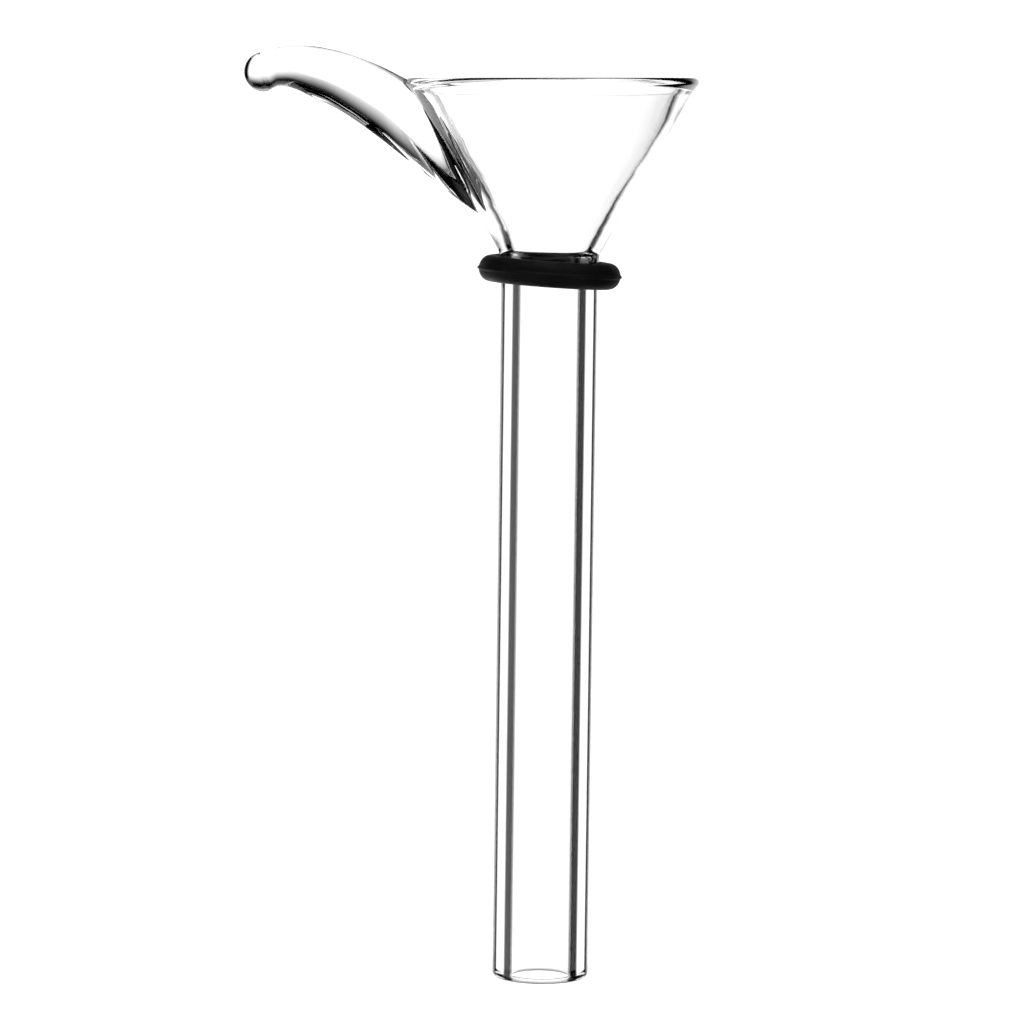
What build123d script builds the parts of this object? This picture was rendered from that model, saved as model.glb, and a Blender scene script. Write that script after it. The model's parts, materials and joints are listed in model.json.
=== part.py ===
from build123d import *
import os
from math import asin, atan2, cos, hypot, radians, sin, tan

os.makedirs("parts", exist_ok=True)

# A glass funnel slide: an open conical bowl on a thick-walled stem tube, a solid glass horn for
# the thumb, and a rubber ring on the stem. Millimetres, +Z up. The origin is on the stem's axis,
# level with the underside of the ring, which is as deep as the stem can be pushed in.

# Driving dimensions
STEM_D = 9.0            # outside diameter of the stem tube
BORE_D = 5.7            # bore of the stem tube
STEM_BELOW = 64.6       # length of stem under the ring
NECK_Z = 2.6            # height at which the cone is fused to the stem
RIM_Z = 19.6            # height of the top of the lip
OUTER_SLOPE = 29.1      # half-angle of the cone's outside, degrees
INNER_SLOPE = 28.2      # half-angle of the cone's inside, degrees
FLARE_Z = 3.2           # height at which the outside opens out into the cone
FLARE_D = 9.2           # diameter there: the fused neck swells a little above the ring's underside
LIP_R = 0.82            # radius of the fire-polished bead round the lip
LIP_FLARE_Z = 18.0      # height at which the inside starts to roll out into the bead
RIM_D = 27.4            # diameter over the bead
FOOT_ROUND = 0.5        # rounding of the melted lower end

RING_RADIAL = 2.1       # thickness of the stretched ring, outwards
RING_AXIAL = 2.4        # thickness of the ring, along the stem
RING_Z = 1.6            # height of the ring's centre
RING_TILT = 3.4         # the ring sits a little askew, lower on the right
RING_PLAY = 0.03        # radial play of the ring on the neck
FLASH_OUT = 0.2         # how far the moulding flash stands out of the ring
FLASH_THICK = 0.25      # thickness of the flash

# The horn is drawn by its sections. Each is an ellipse across the horn, given by its upper point
# and its lower point in the XZ plane, and by half its width across Y. The first two are inside the
# cone's wall, so that the cone cuts the horn to fit its outside.
HORN = [
    ((-9.6, 17.4), (-4.4, 7.0), 3.2),
    ((-13.6, 19.35), (-7.3, 7.45), 3.4),
    ((-15.6, 20.3), (-11.5, 10.2), 3.3),
    ((-17.5, 21.0), (-14.6, 12.6), 3.1),
    ((-19.5, 21.7), (-17.6, 14.9), 2.8),
    ((-21.5, 22.15), (-20.6, 16.8), 2.5),
    ((-23.5, 22.4), (-23.2, 18.2), 2.2),
    ((-25.3, 22.25), (-25.0, 18.6), 1.95),
    ((-26.5, 21.9), (-26.1, 18.5), 1.75),
]
HORN_TIP = (-27.03, 0, 19.95)   # centre of the ball that ends the horn
HORN_TIP_R = 1.86

STEM_R = STEM_D / 2
BORE_R = BORE_D / 2
FLARE_R = FLARE_D / 2
WHOLE_TURN = 360


def neck_radius(z):
    """Radius of the swollen neck's outside at height z, from the stem up to the cone."""
    return STEM_R + (FLARE_R - STEM_R) * z / FLARE_Z


def outer_radius(z):
    """Radius of the cone's outside at height z."""
    return FLARE_R + (z - FLARE_Z) * tan(radians(OUTER_SLOPE))


def inner_radius(z):
    """Radius of the cone's inside at height z."""
    return BORE_R + (z - NECK_Z) * tan(radians(INNER_SLOPE))


def turned(profile):
    """A closed profile of (radius, height) points, turned about the stem's axis."""
    face = Plane.XZ * make_face(Polyline(*profile, close=True))
    return revolve(face, Axis.Z, WHOLE_TURN)


def bead_centre():
    return (RIM_D / 2 - LIP_R, RIM_Z - LIP_R)


def bead_tangent():
    """Where a line from the inside of the wall touches the bead, on its inner upper side."""
    centre_r, centre_z = bead_centre()
    start_r = inner_radius(LIP_FLARE_Z)
    run = hypot(centre_r - start_r, centre_z - LIP_FLARE_Z)
    slope = atan2(centre_z - LIP_FLARE_Z, centre_r - start_r) + asin(LIP_R / run)
    return (centre_r - LIP_R * sin(slope), centre_z + LIP_R * cos(slope))


def wall_outside():
    """The profile of the cone's outside, from its neck up to the bead's centre."""
    centre_z = RIM_Z - LIP_R
    return [
        (neck_radius(NECK_Z), NECK_Z),
        (FLARE_R, FLARE_Z),
        (outer_radius(centre_z), centre_z),
        bead_centre(),
    ]


def bead():
    section = Plane.XZ * (Pos(*bead_centre()) * Circle(LIP_R))
    return revolve(section, Axis.Z, WHOLE_TURN)


def cone_envelope():
    """The cone's outside shape, filled in."""
    return turned([(0, NECK_Z)] + wall_outside() + [(0, RIM_Z - LIP_R)]) + bead()


def funnel_cone():
    wall_inside = [
        bead_tangent(),
        (inner_radius(LIP_FLARE_Z), LIP_FLARE_Z),
        (BORE_R, NECK_Z),
    ]
    return turned(wall_outside() + wall_inside) + bead()


def stem_tube():
    tube = turned([
        (STEM_R, -STEM_BELOW),
        (STEM_R, 0),
        (neck_radius(NECK_Z), NECK_Z),
        (BORE_R, NECK_Z),
        (BORE_R, -STEM_BELOW),
    ])
    foot_edges = tube.edges().filter_by(GeomType.CIRCLE).group_by(Axis.Z)[0]
    return fillet(foot_edges, FOOT_ROUND)


def horn_section(upper, lower, half_width):
    """An ellipse across the horn, from its upper point to its lower point."""
    along = Vector(upper[0] - lower[0], 0, upper[1] - lower[1])
    middle = ((upper[0] + lower[0]) / 2, 0, (upper[1] + lower[1]) / 2)
    across = along.cross(Vector(0, 1, 0))
    plane = Plane(origin=middle, x_dir=along, z_dir=across)
    return plane * Ellipse(along.length / 2, half_width)


def handle():
    horn = loft([horn_section(*section) for section in HORN])
    tip = Pos(HORN_TIP) * Sphere(HORN_TIP_R)
    return (horn + tip) - cone_envelope()


def o_ring():
    middle_r = STEM_R + RING_RADIAL / 2
    section = Plane.XZ * (Pos(middle_r, 0) * Ellipse(RING_RADIAL / 2, RING_AXIAL / 2))
    ring = revolve(section, Axis.Z, WHOLE_TURN)
    flash_r = STEM_R + RING_RADIAL + FLASH_OUT
    flash = Cylinder(flash_r, FLASH_THICK) - Cylinder(middle_r, FLASH_THICK)
    placed = Pos(0, 0, RING_Z) * Rot(0, RING_TILT, 0) * (ring + flash)
    return placed - Cylinder(FLARE_R + RING_PLAY, 4 * RING_AXIAL)


PIECES = {
    "funnel_cone": funnel_cone,
    "stem_tube": stem_tube,
    "handle": handle,
    "o_ring": o_ring,
}

for name, make in PIECES.items():
    export_step(make(), f"parts/{name}.step")
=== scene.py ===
import json
from math import atan2, cos, degrees, hypot, pi, radians, sin, sqrt, tan

import bpy
import numpy as np
from mathutils import Matrix, Vector, geometry, noise


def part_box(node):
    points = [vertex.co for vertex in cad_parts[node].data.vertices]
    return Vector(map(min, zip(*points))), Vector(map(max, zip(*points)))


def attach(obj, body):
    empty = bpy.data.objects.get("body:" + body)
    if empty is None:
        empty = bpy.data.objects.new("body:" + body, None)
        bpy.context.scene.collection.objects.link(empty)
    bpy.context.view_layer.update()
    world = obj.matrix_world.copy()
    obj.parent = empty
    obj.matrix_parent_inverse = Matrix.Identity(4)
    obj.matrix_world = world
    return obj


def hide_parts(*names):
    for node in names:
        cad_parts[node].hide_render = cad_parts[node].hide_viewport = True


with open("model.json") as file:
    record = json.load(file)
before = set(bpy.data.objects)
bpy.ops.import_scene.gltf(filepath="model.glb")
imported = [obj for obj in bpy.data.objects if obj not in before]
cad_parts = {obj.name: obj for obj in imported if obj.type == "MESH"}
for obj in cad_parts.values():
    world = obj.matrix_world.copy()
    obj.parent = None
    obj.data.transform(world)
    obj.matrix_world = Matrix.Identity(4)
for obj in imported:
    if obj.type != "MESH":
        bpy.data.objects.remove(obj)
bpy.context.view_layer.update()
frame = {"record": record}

# A clear glass funnel slide in a plain white studio. Lengths are in millimetres in the row frame,
# with the origin on the stem's axis, and turn into metres only where a mesh or object is made.
MM = 0.001


# ------------------------------------------------------------ sizes, read from the frame

def box_mm(node):
    """A CAD node's lowest and highest corner, in millimetres."""
    low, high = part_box(node)
    return low / MM, high / MM


def mount_radius(name):
    for mount in frame["record"]["mounts"]:
        if mount["name"] == name:
            return mount["dims"]["r_mm"]


STEM_LOW, STEM_HIGH = box_mm("stem_tube")
CONE_HIGH = box_mm("funnel_cone")[1]
RING_LOW, RING_HIGH = box_mm("o_ring")

STEM_R = mount_radius("stem")
BORE_R = mount_radius("stem_bore")
WELD_Z = STEM_HIGH.z            # height of the weld of the cone and the stem
FOOT_Z = STEM_LOW.z
RIM_Z = CONE_HIGH.z
RIM_R = CONE_HIGH.x

# The glass. Its slopes and foot are as in the CAD, and its lip is rounder and swells out.
FLARE_Z = WELD_Z + 0.6          # height at which the outside opens out into the cone
FLARE_R = STEM_R + 0.1          # radius there
OUTER_SLOPE = radians(29.1)     # half-angle of the cone's outside
INNER_SLOPE = radians(28.2)     # half-angle of the cone's inside
LIP_OUTER_ROUND = 0.45          # radius of the lip's fire-polished outer edge
LIP_INNER_ROUND = 0.6           # and of its inner edge
LIP_CROWN = 0.12                # how much higher the lip's middle stands than its edges
LIP_Z = RIM_Z - 1.5             # height from which the outside swells out into the lip
LIP_FLARE = 0.34                # how far it swells out
FOOT_ROUND = 0.5                # radius of the melted edges of the foot

# Radii that blend corners which the CAD leaves sharp
NECK_BLEND = 2.2                # outside, where the cone begins
BORE_BLEND = 4.0                # inside, where the bore opens into the cone
LIP_BLEND = 1.5                 # where the outside swells into the lip, and over its crown
SEAT_BLEND = 12.0               # on the stem, where the ring sits

# The horn, by sections from its tip to inside the cone's wall: upper point and lower point in
# the XZ plane, and half its width across Y. The first goes through the centre of its round tip.
HORN = [
    ((-27.15, 21.72), (-26.20, 18.16), 1.90),
    ((-25.60, 22.20), (-25.30, 18.60), 1.95),
    ((-24.00, 22.42), (-23.80, 18.38), 2.10),
    ((-22.40, 22.40), (-22.00, 17.55), 2.30),
    ((-20.80, 22.18), (-20.00, 16.65), 2.50),
    ((-19.10, 21.80), (-17.80, 15.25), 2.75),
    ((-17.40, 21.22), (-15.40, 13.50), 2.95),
    ((-15.70, 20.54), (-12.80, 11.42), 3.10),
    ((-14.40, 19.92), (-10.00, 9.30), 3.10),
    ((-13.00, 19.20), (-7.60, 7.55), 3.00),
    ((-11.50, 18.30), (-5.00, 5.90), 2.90),
]
FILLET_ALONG = 1.0              # how far up the horn the glass of its weld runs
FILLET_OUT = 0.45               # how far it spreads over the cone
PINCH_BELOW = -0.1              # the horn's underside is pinched below this share of its height
PINCH_ROOT = -0.55              # and below this one where it meets the cone
PINCH_EDGE = 0.3                # how blunt the pinched edge is, from 0 for a knife edge

# The hand-worked inside of the cone sits a little to the right, and is rippled
INSIDE_LEFT = -0.30             # how far its left side stands out from its true place, low down
INSIDE_RIGHT = 0.35             # and its right side, towards the rim
WIDE_RIPPLE = 0.018             # height of its wide ripples
FINE_RIPPLE = 0.004             # and of its fine ones

ROUND_STEPS = 256               # points round the stem and the cone
HORN_STEPS = 144                # points round the horn
HORN_ROWS = 150                 # points along the horn


# ------------------------------------------------------------ outlines

class Outline:
    """An outline in the (radius, height) plane, made of straight runs and tangent arcs."""

    def __init__(self):
        self.parts = []
        self.length = 0.0

    def add(self, length, point, straight):
        if length > 1e-6:
            self.parts.append((self.length, length, point, straight))
            self.length += length

    def line(self, a, b):
        self.add(np.linalg.norm(b - a), lambda f: a + (b - a) * f, True)

    def arc(self, centre, start, turn):
        x, y = start - centre

        def point(f):
            c, s = cos(turn * f), sin(turn * f)
            return centre + np.array([c * x - s * y, s * x + c * y])

        self.add(abs(turn) * hypot(x, y), point, False)

    def run(self, corners):
        """Straight runs through (radius, height, blend) corners, rounded by the blend radius."""
        points = [np.array(c[:2], float) for c in corners]
        start = points[0]
        for i in range(1, len(points) - 1):
            here, blend = points[i], corners[i][2]
            before = (here - points[i - 1]) / np.linalg.norm(here - points[i - 1])
            after = (points[i + 1] - here) / np.linalg.norm(points[i + 1] - here)
            turn = atan2(before[0] * after[1] - before[1] * after[0], before @ after)
            cut = blend * tan(abs(turn) / 2)
            self.line(start, here - before * cut)
            inward = np.array([-before[1], before[0]]) * (1 if turn > 0 else -1)
            self.arc(here - before * cut + inward * blend, here - before * cut, turn)
            start = here + after * cut
        self.line(start, points[-1])

    def at(self, s):
        """The point at the distance s along the outline."""
        for begin, length, point, _ in self.parts:
            if s <= begin + length:
                break
        return point(min(1.0, max(0.0, (s - begin) / length)))

    def normal(self, s):
        """The outward normal at the distance s, for an outline that goes round its glass leftwards."""
        step = 0.002
        d = self.at(min(self.length, s + step)) - self.at(max(0.0, s - step))
        return np.array([d[1], -d[0]]) / np.linalg.norm(d)

    def steps(self, spacing, fine):
        """Distances along the outline, about `spacing` apart on lines and `fine` apart on arcs."""
        out = [0.0]
        for begin, length, _, straight in self.parts:
            n = max(2, int(length / (spacing if straight else fine)) + 1)
            out += [begin + length * (k + 1) / n for k in range(n)]
        return out

    def distance_at_height(self, z, near):
        """The distance along the outline at which its height is z, between the two distances near."""
        low, high = near
        rising = self.at(high)[1] > self.at(low)[1]
        for _ in range(60):
            middle = (low + high) / 2
            if (self.at(middle)[1] > z) == rising:
                high = middle
            else:
                low = middle
        return (low + high) / 2


def outer_radius(z):
    return FLARE_R + (z - FLARE_Z) * tan(OUTER_SLOPE)


def inner_radius(z):
    return BORE_R + (z - WELD_Z) * tan(INNER_SLOPE)


def glass_outline():
    """The whole section of the glass: up its outside, over the lip, and down its inside."""
    outline = Outline()
    mid_wall = (STEM_R + BORE_R) / 2
    edge_z = RIM_Z - LIP_CROWN
    out_r, in_r = outer_radius(edge_z) + LIP_FLARE, inner_radius(edge_z)
    outline.run([
        (mid_wall, FOOT_Z, 0),
        (STEM_R, FOOT_Z, FOOT_ROUND),
        (STEM_R, 0, SEAT_BLEND),
        (FLARE_R, FLARE_Z, NECK_BLEND),
        (outer_radius(LIP_Z), LIP_Z, LIP_BLEND),
        (out_r, edge_z, LIP_OUTER_ROUND),
        ((out_r + in_r) / 2, RIM_Z, LIP_BLEND),
        (in_r, edge_z, LIP_INNER_ROUND),
        (BORE_R, WELD_Z, BORE_BLEND),
        (BORE_R, FOOT_Z, FOOT_ROUND),
        (mid_wall, FOOT_Z, 0),
    ])
    return outline


GLASS = glass_outline()
TOP_S = max(np.linspace(0, GLASS.length, 4001), key=lambda s: GLASS.at(s)[1])
WELD_OUT_S = GLASS.distance_at_height(WELD_Z, (1.0, TOP_S))
WELD_IN_S = GLASS.distance_at_height(WELD_Z, (TOP_S, GLASS.length - 1.0))


# ------------------------------------------------------------ meshes

RIM_SLOPE = radians(0.75)       # the rim isn't quite square to the stem: it is higher on the right


def settled(p):
    """A point of the cone or the horn, moved up or down with the slope of the rim."""
    share = min(1.0, max(0.0, (p[2] - WELD_Z) / (RIM_Z - WELD_Z)))
    across = min(RIM_R, max(-RIM_R, p[0]))
    return np.array([p[0], p[1], p[2] + RIM_SLOPE * across * share ** 2])


def make_piece(name, verts, faces, slots, normals, materials):
    """A closed piece from points in millimetres. slots are the faces' material numbers."""
    mesh = bpy.data.meshes.new(name)
    mesh.from_pydata([tuple(v * MM) for v in verts], [], [tuple(f) for f in faces])
    for material in materials:
        mesh.materials.append(material)
    mesh.polygons.foreach_set("material_index", slots)
    mesh.polygons.foreach_set("use_smooth", [True] * len(mesh.polygons))
    mesh.update()
    if normals is not None:
        mesh.normals_split_custom_set_from_vertices([tuple(n) for n in normals])
    piece = bpy.data.objects.new(name, mesh)
    bpy.context.scene.collection.objects.link(piece)
    return piece


def unit(v):
    return v / np.maximum(np.linalg.norm(v, axis=-1, keepdims=True), 1e-12)


def turned_points(outline, distances, strays):
    """A grid of points [distance, angle] on the turned outline, each moved out as far as it strays."""
    angles = np.arange(ROUND_STEPS) * 2 * pi / ROUND_STEPS
    grid = np.empty((len(distances), ROUND_STEPS, 3))
    for i, s in enumerate(distances):
        r, z = outline.at(s)
        for j, angle in enumerate(angles):
            out = r + strays(s, angle, z)
            grid[i, j] = (out * cos(angle), out * sin(angle), z)
    return grid


def grid_normals(grid, breaks):
    """Outward normals of a turned grid. breaks are rows after which the surface stops."""
    around = np.roll(grid, -1, axis=1) - np.roll(grid, 1, axis=1)
    ahead = np.roll(grid, -1, axis=0)
    behind = np.roll(grid, 1, axis=0)
    for row in breaks:
        ahead[row] = grid[row]
        after = (row + 1) % len(grid)
        behind[after] = grid[after]
    return unit(np.cross(around, ahead - behind))


def grid_faces(rows, columns):
    """Quads of a grid that closes both ways, with the row that each one starts from."""
    faces, starts = [], []
    for i in range(rows):
        below, above = i * columns, (i + 1) % rows * columns
        for j in range(columns):
            k = (j + 1) % columns
            faces.append((below + j, below + k, above + k, above + j))
            starts.append((i, j))
    return faces, starts


def wave(*args):
    """Smooth noise from -1 to 1."""
    return noise.noise(Vector(args))


def smooth(value, low, high):
    """0 below low and 1 above high, with a soft change between them."""
    f = min(1.0, max(0.0, (value - low) / (high - low)))
    return f * f * (3 - 2 * f)


def inside_strays(s, angle, z):
    """How far out the hand-worked inside of the cone strays at a point of its outline."""
    if s < TOP_S or z < WELD_Z:
        return 0.0
    x, y = cos(angle), sin(angle)
    rise = smooth(z, WELD_Z + 0.5, WELD_Z + 3.5)
    ripple = WIDE_RIPPLE * wave(x * 1.6, y * 1.6, z * 0.95)
    ripple += FINE_RIPPLE * wave(x * 4.0 + 7.0, y * 4.0, z * 1.9)
    ripple *= 1 - smooth(z, RIM_Z - 2.7, RIM_Z - 0.7)
    right = INSIDE_RIGHT * smooth(z, 7.0, 14.0) * (1 - smooth(z, 14.5, 19.0))
    left = INSIDE_LEFT * (1 - 0.75 * smooth(z, 7.5, 13.0))
    shift = x * (right - left) / 2 + x * x * (right + left) / 2
    return rise * smooth(s, TOP_S, TOP_S + 0.7) * (ripple + shift)


def make_stem(glass, weld):
    """The stem's tube, with a hidden weld face where the cone begins."""
    steps = GLASS.steps(0.6, 0.06)
    rising = [s for s in steps if s < WELD_OUT_S - 0.02] + [WELD_OUT_S]
    falling = [WELD_IN_S] + [s for s in steps if WELD_IN_S + 0.02 < s < GLASS.length - 1e-6]
    grid = turned_points(GLASS, rising + falling, inside_strays)
    last_out = len(rising) - 1
    faces, starts = grid_faces(len(grid), ROUND_STEPS)
    slots = [1 if i == last_out else 0 for i, _ in starts]
    normals = grid_normals(grid, [last_out])
    return make_piece("stem_glass", grid.reshape(-1, 3), faces, slots, normals.reshape(-1, 3), [glass, weld])


# ------------------------------------------------------------ the horn

def spline(values, f):
    """A smooth curve through the values: f from 0 at the first to 1 at the last."""
    values = np.asarray(values, float)
    x = min(max(f, 0.0), 1.0) * (len(values) - 1)
    i = min(int(x), len(values) - 2)
    u = x - i
    p1, p2 = values[i], values[i + 1]
    p0 = values[i - 1] if i else 2 * p1 - p2
    p3 = values[i + 2] if i + 2 < len(values) else 2 * p2 - p1
    return p1 + 0.5 * u * (p2 - p0 + u * (2 * p0 - 5 * p1 + 4 * p2 - p3 + u * (3 * (p1 - p2) + p3 - p0)))


TIP_SHARE = 0.12                # share of the horn's rows that go round its tip


def horn_section(t):
    """The section at t, from 0 at the tip's end to 1 inside the wall: middle, half chord, half width."""
    if t < TIP_SHARE:
        upper, lower = (np.array(p) for p in HORN[0][:2])
        middle, chord = (upper + lower) / 2, (upper - lower) / 2
        radius = np.linalg.norm(chord)
        turn = t / TIP_SHARE * pi / 2
        forward = np.array([-chord[1], chord[0]])
        return middle + forward * cos(turn), chord * sin(turn), radius * sin(turn)
    f = (t - TIP_SHARE) / (1 - TIP_SHARE)
    upper = spline([h[0] for h in HORN], f)
    lower = spline([h[1] for h in HORN], f)
    return (upper + lower) / 2, (upper - lower) / 2, float(spline([[h[2]] for h in HORN], f)[0])


def horn_point(t, angle):
    """A point of the horn's skin: angle 0 is on top, half a turn is underneath."""
    middle, chord, width = horn_section(t)
    x, z = middle + chord * cos(angle)
    return np.array([x, width * sin(angle) * pinch(t, cos(angle)), z])


def pinch(t, height):
    """How much the tongs narrowed the underside at this height, from 1 on top to -1 underneath."""
    begins = PINCH_BELOW + (PINCH_ROOT - PINCH_BELOW) * smooth(t, 0.66, 0.9)
    if height > begins:
        return 1.0
    there = smooth(t, 0.22, 0.40)
    round_width = sqrt(1 - height ** 2) + 1e-9
    facet = sqrt(1 - begins ** 2) * (1 + height) / (1 + begins)
    narrow = hypot(facet, PINCH_EDGE * round_width) / round_width
    return 1 + there * (min(1.0, narrow) - 1)


def horn_skin_normal(t, angle):
    """The outward normal of the horn's skin."""
    step = 0.002
    along = horn_point(min(1.0, t + step), angle) - horn_point(max(0.0, t - step), angle)
    round_it = horn_point(t, angle + step) - horn_point(t, angle - step)
    n = np.cross(round_it, along)
    middle = horn_section(t)[0]
    p = horn_point(t, angle)
    if n @ (p - np.array([middle[0], 0, middle[1]])) < 0:
        n = -n
    return n / max(np.linalg.norm(n), 1e-12)


OUTSIDE_S = np.linspace(WELD_OUT_S, TOP_S, 1500)
OUTSIDE = np.array([GLASS.at(s) for s in OUTSIDE_S])
OUTSIDE_N = np.array([GLASS.normal(s) for s in OUTSIDE_S])


def over_cone(p):
    """Distance of a point outside the cone's outside, and the distance along the outline there."""
    flat = np.array([hypot(p[0], p[1]), p[2]])
    i = int(np.argmin(((OUTSIDE - flat) ** 2).sum(axis=1)))
    off = flat - OUTSIDE[i]
    along = off @ np.array([-OUTSIDE_N[i][1], OUTSIDE_N[i][0]])
    return off @ OUTSIDE_N[i], OUTSIDE_S[i] + along


def horn_with_fillet(t, angle):
    """The horn's skin, flared out where it meets the cone."""
    p = horn_point(t, angle)
    if t < 0.35:
        return p
    side = 0.12 + 0.88 * sin(angle) ** 2 * smooth(cos(angle), -0.9, -0.3)
    near = 1 - max(0.0, over_cone(p)[0]) / (FILLET_ALONG * side)
    if near <= 0:
        return p
    return p + horn_skin_normal(t, angle) * FILLET_OUT * side * (1 - sqrt(1 - near ** 2))


def root_of(angle):
    """Where the horn's line at this angle meets the cone: t, the cone's angle and outline distance."""
    low, high = 0.3, 1.0
    ts = np.linspace(low, high, 141)
    for a, b in zip(ts, ts[1:]):
        if over_cone(horn_with_fillet(b, angle))[0] <= 0:
            low, high = a, b
            break
    for _ in range(24):
        middle = (low + high) / 2
        if over_cone(horn_with_fillet(middle, angle))[0] > 0:
            low = middle
        else:
            high = middle
    p = horn_with_fillet(high, angle)
    return high, atan2(p[1], p[0]) % (2 * pi), over_cone(p)[1]


def on_cone(angle, s):
    r, z = GLASS.at(s)
    return np.array([r * cos(angle), r * sin(angle), z])


def cone_normal(angle, s):
    out, up = GLASS.normal(s)
    return np.array([out * cos(angle), out * sin(angle), up])


HORN_ANGLES = np.arange(HORN_STEPS) * 2 * pi / HORN_STEPS
ROOT = [root_of(a) for a in HORN_ANGLES]
PATCH_R = 9.0                   # radius that turns the cone's angles into lengths in its flat pattern


def weld_patch(columns, rows_s):
    """The cone's outside in its flat pattern, triangulated round the edge of the horn's root.

    Returns the flat points as (angle, s), the triangles outside the root and those inside it, and
    for each flat point on the root's edge, its number round the horn."""
    curve = [(phi * PATCH_R, s) for _, phi, s in ROOT]
    step_x = (columns[1] - columns[0]) * PATCH_R
    points = list(curve)
    near = np.array(curve)
    for i, s in enumerate(rows_s):
        for j, phi in enumerate(columns):
            p = np.array([phi * PATCH_R, s])
            edge = i in (0, len(rows_s) - 1) or j in (0, len(columns) - 1)
            if edge or ((near - p) ** 2).sum(axis=1).min() > (0.45 * step_x) ** 2:
                points.append(tuple(p))
    n = len(curve)
    edges = [(k, (k + 1) % n) for k in range(n)]
    flat, _, triangles, sources, *_ = geometry.delaunay_2d_cdt(
        [Vector(p) for p in points], edges, [], 0, 1e-7)
    on_edge = {k: source for k, came_from in enumerate(sources) for source in came_from if source < n}
    outside, inside = [], []
    for triangle in triangles:
        middle = sum((flat[k] for k in triangle), Vector((0, 0))) / 3
        (inside if in_loop(middle, curve) else outside).append(tuple(triangle))
    return [(p.x / PATCH_R, p.y) for p in flat], outside, inside, on_edge


def in_loop(p, loop):
    """True if the flat point is inside the closed loop of points."""
    hit = False
    for (x0, y0), (x1, y1) in zip(loop, loop[1:] + loop[:1]):
        if (y0 > p[1]) != (y1 > p[1]) and p[0] < x0 + (p[1] - y0) * (x1 - x0) / (y1 - y0):
            hit = not hit
    return hit


def make_cone_and_horn(glass, weld):
    steps = GLASS.steps(0.22, 0.06)
    distances = [WELD_OUT_S] + [s for s in steps if WELD_OUT_S + 0.02 < s < WELD_IN_S - 0.02] + [WELD_IN_S]
    grid = turned_points(GLASS, distances, inside_strays)
    rows = len(distances)
    top_row = max(i for i, s in enumerate(distances) if s <= TOP_S + 1e-6)
    half_window = 9 + max(int(abs(phi - pi) * ROUND_STEPS / (2 * pi)) for _, phi, _ in ROOT)
    j0, j1 = ROUND_STEPS // 2 - half_window, ROUND_STEPS // 2 + half_window
    columns = [j * 2 * pi / ROUND_STEPS for j in range(j0, j1 + 1)]
    flat, outside, inside, on_edge = weld_patch(columns, distances[: top_row + 1])

    # The cone: its grid, with the flat pattern's triangles in place of the quads round the horn
    verts = list(grid.reshape(-1, 3))
    normals = list(grid_normals(grid, [rows - 1]).reshape(-1, 3))
    lookup = {}
    for i in range(top_row + 1):
        for j in range(j0, j1 + 1):
            key = (round(columns[j - j0] * PATCH_R, 4), round(distances[i], 4))
            lookup[key] = i * ROUND_STEPS + j % ROUND_STEPS
    index = []
    for phi, s in flat:
        key = (round(phi * PATCH_R, 4), round(s, 4))
        if key in lookup:
            index.append(lookup[key])
        else:
            index.append(len(verts))
            verts.append(on_cone(phi, s))
            normals.append(cone_normal(phi, s))
    faces, slots = [], []
    for face, (i, j) in zip(*grid_faces(rows, ROUND_STEPS)):
        if i < top_row and j0 <= j < j1:
            continue
        faces.append(face)
        slots.append(1 if i == rows - 1 else 0)
    for triangles, slot in ((outside, 0), (inside, 1)):
        for triangle in triangles:
            faces.append(tuple(index[k] for k in triangle))
            slots.append(slot)
    used = sorted({k for face in faces for k in face})
    renumber = {k: i for i, k in enumerate(used)}
    cone = make_piece(
        "cone_glass",
        [settled(verts[k]) for k in used],
        [tuple(renumber[k] for k in face) for face in faces],
        slots,
        [normals[k] for k in used],
        [glass, weld],
    )

    # The horn: rows from its tip to its root, closed by the same triangles as the cone's patch
    skin = np.empty((HORN_ROWS + 1, HORN_STEPS, 3))
    for j, angle in enumerate(HORN_ANGLES):
        end_t, phi, s = ROOT[j]
        for i in range(HORN_ROWS + 1):
            skin[i, j] = horn_with_fillet(end_t * i / HORN_ROWS, angle)
        skin[HORN_ROWS, j] = on_cone(phi, s)
    tip = horn_point(0.0, 0.0)
    around = np.roll(skin, -1, axis=1) - np.roll(skin, 1, axis=1)
    along = np.gradient(skin, axis=0)
    skin_normals = unit(np.cross(along, around))
    upper, lower = (np.array(p) for p in HORN[0][:2])
    chord = (upper - lower) / 2
    tip_normal = unit(np.array([-chord[1], 0, chord[0]]))
    verts = [tip] + list(skin[1:].reshape(-1, 3))
    normals = [tip_normal] + list(skin_normals[1:].reshape(-1, 3))
    faces, slots = [], []
    for j in range(HORN_STEPS):
        faces.append((0, 1 + j, 1 + (j + 1) % HORN_STEPS))
    for i in range(HORN_ROWS - 1):
        for j in range(HORN_STEPS):
            k = (j + 1) % HORN_STEPS
            a, b = 1 + i * HORN_STEPS, 1 + (i + 1) * HORN_STEPS
            faces.append((a + j, b + j, b + k, a + k))
    slots = [0] * len(faces)
    last = 1 + (HORN_ROWS - 1) * HORN_STEPS
    index = {}
    for triangle in inside:
        for k in triangle:
            if k in index:
                continue
            if k in on_edge:
                index[k] = last + on_edge[k]
            else:
                index[k] = len(verts)
                verts.append(on_cone(*flat[k]))
                normals.append(-cone_normal(*flat[k]))
        faces.append(tuple(index[k] for k in reversed(triangle)))
        slots.append(1)
    horn = make_piece("horn_glass", [settled(v) for v in verts], faces, slots, normals, [glass, weld])
    return cone, horn


# ------------------------------------------------------------ the rubber ring

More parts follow.
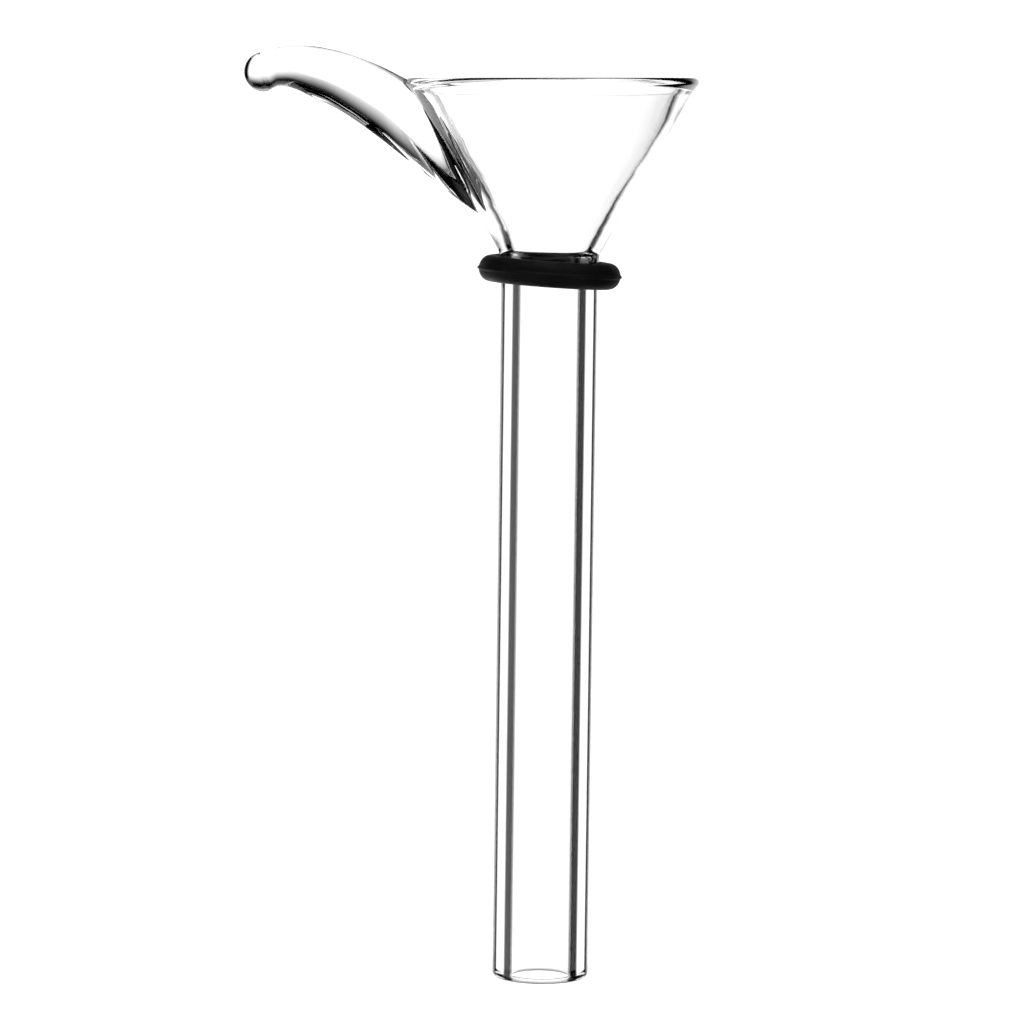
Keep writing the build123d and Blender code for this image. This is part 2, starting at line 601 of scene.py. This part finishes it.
RING_TILT = radians(3.4)        # the ring sits askew, lower on the right
RING_AXIAL = 2.4                # thickness along the stem
FLASH_OUT = 0.2                 # how far the moulding flash stands out
FLASH_HALF = 0.13               # half the flash's thickness
RING_PLAY = 0.03                # between the ring's bore and the glass's neck, its widest seat
RING_WARP = 0.28                # how much its far side is pushed up
WARP_TURN = radians(12)         # how far that place is turned from straight behind


def make_ring(rubber):
    """The tilted rubber ring, with the moulding flash round its outside."""
    middle = (RING_LOW + RING_HIGH) / 2
    outer = (RING_HIGH.y - RING_LOW.y) / 2 - FLASH_OUT
    radial = outer - STEM_R
    centre_r = STEM_R + radial / 2
    bore = FLARE_R + RING_PLAY
    rows, columns = 96, 320
    grid = np.empty((rows, columns, 3))
    for i in range(rows):
        turn = i * 2 * pi / rows
        for j in range(columns):
            angle = j * 2 * pi / columns
            up = RING_AXIAL / 2 * sin(turn)
            flash = FLASH_OUT * np.exp(-(up / FLASH_HALF) ** 2) if cos(turn) > 0 else 0.0
            ragged = 0.8 + 0.2 * wave(cos(angle) * 3, sin(angle) * 3, 5.0)
            out = centre_r + radial / 2 * cos(turn) + flash * ragged
            x, y = out * cos(angle), out * sin(angle)
            x, z = x * cos(RING_TILT) + up * sin(RING_TILT), up * cos(RING_TILT) - x * sin(RING_TILT)
            reach = hypot(x, y)
            if reach < bore:
                x, y = x * bore / reach, y * bore / reach
            warp = RING_WARP * max(0.0, sin(angle - WARP_TURN)) ** 3
            grid[i, j] = (x, y, middle.z + z + warp)
    faces, _ = grid_faces(rows, columns)
    return make_piece("rubber_ring", grid.reshape(-1, 3), faces, [0] * len(faces), None, [rubber])


# ------------------------------------------------------------ materials

def principled(name, **values):
    """A new material whose Principled shader has these values."""
    material = bpy.data.materials.new(name)
    material.use_nodes = True
    shader = material.node_tree.nodes["Principled BSDF"]
    for socket, value in values.items():
        shader.inputs[socket.replace("_", " ")].default_value = value
    return material


def glass_material():
    """Clear glass, with the faint drawn streaks and lamp-worked unevenness of its skin."""
    material = principled("clear_glass", Base_Color=(1, 1, 1, 1), Roughness=0.0, IOR=1.47,
                          Transmission_Weight=1.0)
    tree = material.node_tree
    place = tree.nodes.new("ShaderNodeTexCoord").outputs["Object"]
    drawn = tree.nodes.new("ShaderNodeMapping")
    drawn.inputs["Scale"].default_value = (1.0, 1.0, 0.12)
    tree.links.new(place, drawn.inputs["Vector"])
    streaks = tree.nodes.new("ShaderNodeTexNoise")
    streaks.inputs["Scale"].default_value = 420.0
    streaks.inputs["Detail"].default_value = 1.0
    tree.links.new(drawn.outputs["Vector"], streaks.inputs["Vector"])
    bump = tree.nodes.new("ShaderNodeBump")
    bump.inputs["Strength"].default_value = 1.0
    bump.inputs["Distance"].default_value = 0.002 * MM
    tree.links.new(streaks.outputs["Fac"], bump.inputs["Height"])
    tree.links.new(bump.outputs["Normal"], tree.nodes["Principled BSDF"].inputs["Normal"])
    return material


def weld_material():
    """The face inside a weld, where glass meets glass and nothing is seen."""
    material = bpy.data.materials.new("fused_weld")
    material.use_nodes = True
    tree = material.node_tree
    tree.nodes.clear()
    clear = tree.nodes.new("ShaderNodeBsdfTransparent")
    out = tree.nodes.new("ShaderNodeOutputMaterial")
    tree.links.new(clear.outputs["BSDF"], out.inputs["Surface"])
    return material


def rubber_material():
    """Matt black rubber: a fine grain from its mould, and patches rubbed a little smoother."""
    material = principled("black_rubber", Base_Color=(0.005, 0.005, 0.005, 1), Specular_IOR_Level=0.3)
    tree = material.node_tree
    shader = tree.nodes["Principled BSDF"]
    place = tree.nodes.new("ShaderNodeTexCoord").outputs["Object"]
    patches = tree.nodes.new("ShaderNodeTexNoise")
    patches.inputs["Scale"].default_value = 260.0
    patches.inputs["Detail"].default_value = 4.0
    tree.links.new(place, patches.inputs["Vector"])
    rough = tree.nodes.new("ShaderNodeMapRange")
    rough.inputs["From Min"].default_value = 0.3
    rough.inputs["From Max"].default_value = 0.7
    rough.inputs["To Min"].default_value = 0.45
    rough.inputs["To Max"].default_value = 0.75
    tree.links.new(patches.outputs["Fac"], rough.inputs["Value"])
    tree.links.new(rough.outputs["Result"], shader.inputs["Roughness"])
    grain = tree.nodes.new("ShaderNodeTexNoise")
    grain.inputs["Scale"].default_value = 2600.0
    tree.links.new(place, grain.inputs["Vector"])
    bump = tree.nodes.new("ShaderNodeBump")
    bump.inputs["Strength"].default_value = 0.3
    bump.inputs["Distance"].default_value = 0.03 * MM
    tree.links.new(grain.outputs["Fac"], bump.inputs["Height"])
    tree.links.new(bump.outputs["Normal"], shader.inputs["Normal"])
    return material


# ------------------------------------------------------------ studio

def window(tree, value, low, high, soft):
    """1 where the value is between low and high, fading over soft on both sides."""
    edges = []
    for a, b in ((low - soft, low + soft), (high + soft, high - soft)):
        edge = tree.nodes.new("ShaderNodeMapRange")
        edge.interpolation_type = "SMOOTHSTEP"
        edge.inputs["From Min"].default_value = a
        edge.inputs["From Max"].default_value = b
        tree.links.new(value, edge.inputs["Value"])
        edges.append(edge.outputs["Result"])
    return join(tree, "MULTIPLY", *edges)


def join(tree, operation, a, b=None):
    """The result of a maths node that takes one or two numbers or sockets."""
    node = tree.nodes.new("ShaderNodeMath")
    node.operation = operation
    for socket, value in zip(node.inputs, (a, b)):
        if value is None:
            continue
        if isinstance(value, (int, float)):
            socket.default_value = value
        else:
            tree.links.new(value, socket)
    return node.outputs["Value"]


# The studio round the glass, in degrees: turn is from straight behind the object towards the
# horn's side, rise is above the horizon. Each is a broad bright panel in a dark room: turn low,
# turn high, turn fade, rise low, rise high, rise fade, brightness.
HALF_TURN = 185                 # a little past half a turn, so a panel to here has no edge
PANELS = [
    (-35, 35, 7, -85, 15, 13, 1.3),        # bright panel behind the object
    (-50, 50, 8, -95, -50, 8, 1.1),        # the pale table under that panel
    (75, 105, 5, -15, 10, 4, 1.2),         # soft box at the side
    (46, 70, 3, -45, -20, 3, 1.0),         # low soft box, seen through the glass from 45,25
    (110, 250, 8, -95, 12, 8, 0.25),       # fill from the camera's side
    (-HALF_TURN, HALF_TURN, 1, 50, 95, 8, 0.5),        # the ceiling
]


BACKDROP = 1.3                  # brightness of the plain background that the camera sees


def make_world():
    """The panels, for whatever the glass refracts and reflects, and a plain white background."""
    world = bpy.data.worlds.new("studio")
    bpy.context.scene.world = world
    world.use_nodes = True
    tree = world.node_tree
    tree.nodes.clear()
    place = tree.nodes.new("ShaderNodeTexCoord").outputs["Generated"]
    split = tree.nodes.new("ShaderNodeSeparateXYZ")
    tree.links.new(place, split.inputs["Vector"])
    left = join(tree, "MULTIPLY", split.outputs["X"], -1.0)
    turn = join(tree, "ARCTAN2", left, split.outputs["Y"])
    turn = join(tree, "MULTIPLY", turn, degrees(1))
    rise = join(tree, "MULTIPLY", join(tree, "ARCSINE", split.outputs["Z"]), degrees(1))
    light = None
    for turn_low, turn_high, turn_fade, rise_low, rise_high, rise_fade, power in PANELS:
        across = window(tree, turn, turn_low, turn_high, turn_fade)
        if turn_high > HALF_TURN:
            around = window(tree, turn, turn_low - 360, turn_high - 360, turn_fade)
            across = join(tree, "MAXIMUM", across, around)
        upright = window(tree, rise, rise_low, rise_high, rise_fade)
        panel = join(tree, "MULTIPLY", join(tree, "MULTIPLY", across, upright), power)
        light = panel if light is None else join(tree, "MAXIMUM", light, panel)
    seen = tree.nodes.new("ShaderNodeLightPath").outputs["Is Camera Ray"]
    strength = join(tree, "MAXIMUM", light, join(tree, "MULTIPLY", seen, BACKDROP))
    back = tree.nodes.new("ShaderNodeBackground")
    back.inputs["Color"].default_value = (1, 1, 1, 1)
    tree.links.new(strength, back.inputs["Strength"])
    out = tree.nodes.new("ShaderNodeOutputWorld")
    tree.links.new(back.outputs["Background"], out.inputs["Surface"])


FLOOR_Z = -0.115                # in metres


def make_floor():
    """A plain pale floor under the object, well clear of the ring when it has come off the stem."""
    material = principled("pale_floor", Base_Color=(0.9, 0.9, 0.9, 1), Roughness=0.9,
                          Emission_Color=(1, 1, 1, 1), Emission_Strength=1.0)
    bpy.ops.mesh.primitive_circle_add(vertices=96, radius=3.0, fill_type="NGON", location=(0, 0, FLOOR_Z))
    floor = bpy.context.object
    floor.name = "floor"
    floor.data.materials.append(material)
    floor.visible_transmission = False
    floor.visible_glossy = False
    floor.visible_diffuse = False


def make_lights():
    """One large soft box overhead, which lights the rubber."""
    light = bpy.data.lights.new("overhead_softbox", "AREA")
    light.size = 0.8
    light.energy = 2.0
    softbox = bpy.data.objects.new("overhead_softbox", light)
    softbox.location = (0.2, -0.3, 1.0)
    softbox.rotation_euler = (Vector((0, 0, 0)) - softbox.location).to_track_quat("-Z", "Y").to_euler()
    bpy.context.scene.collection.objects.link(softbox)


CAMERA_AWAY = 440.0             # from the stem's axis, in millimetres
AIM_X = -3.2                    # where the middle of the picture is, in millimetres
AIM_Z = -20.8
LEAN = radians(0.75)            # the camera's roll, which makes the slide lean
FOCAL = 166.6                   # of the lens, in millimetres on a 36 mm sensor


def make_camera():
    """A long lens, level with the rim and tipped down a little."""
    data = bpy.data.cameras.new("camera")
    camera = bpy.data.objects.new("camera", data)
    bpy.context.scene.collection.objects.link(camera)
    aim = Vector((AIM_X, 0, AIM_Z)) * MM
    place = Vector((AIM_X, -CAMERA_AWAY, RIM_Z)) * MM
    camera.location = place
    look = (aim - place).to_track_quat("-Z", "Y").to_matrix().to_4x4()
    camera.matrix_world = Matrix.Translation(place) @ look @ Matrix.Rotation(LEAN, 4, "Z")
    data.sensor_width = 36.0
    data.lens = FOCAL
    data.clip_start = 0.01
    data.clip_end = 20.0
    bpy.context.scene.camera = camera


# ------------------------------------------------------------ the scene

GLASS_BOUNCES = 24              # enough for light to pass through every wall of the glass

glass, weld, rubber = glass_material(), weld_material(), rubber_material()
stem = make_stem(glass, weld)
cone, horn = make_cone_and_horn(glass, weld)
ring = make_ring(rubber)
for piece, node, body, slot in (
    (cone, "funnel_cone", "glass", "glass"),
    (stem, "stem_tube", "glass", "glass"),
    (horn, "handle", "glass", "glass"),
    (ring, "o_ring", "ring", "rubber"),
):
    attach(piece, body)
    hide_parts(node)

make_world()
make_floor()
make_lights()
make_camera()
bpy.context.scene.view_settings.view_transform = "Standard"
for bounces in ("max_bounces", "transmission_bounces", "transparent_max_bounces"):
    setattr(bpy.context.scene.cycles, bounces, GLASS_BOUNCES)
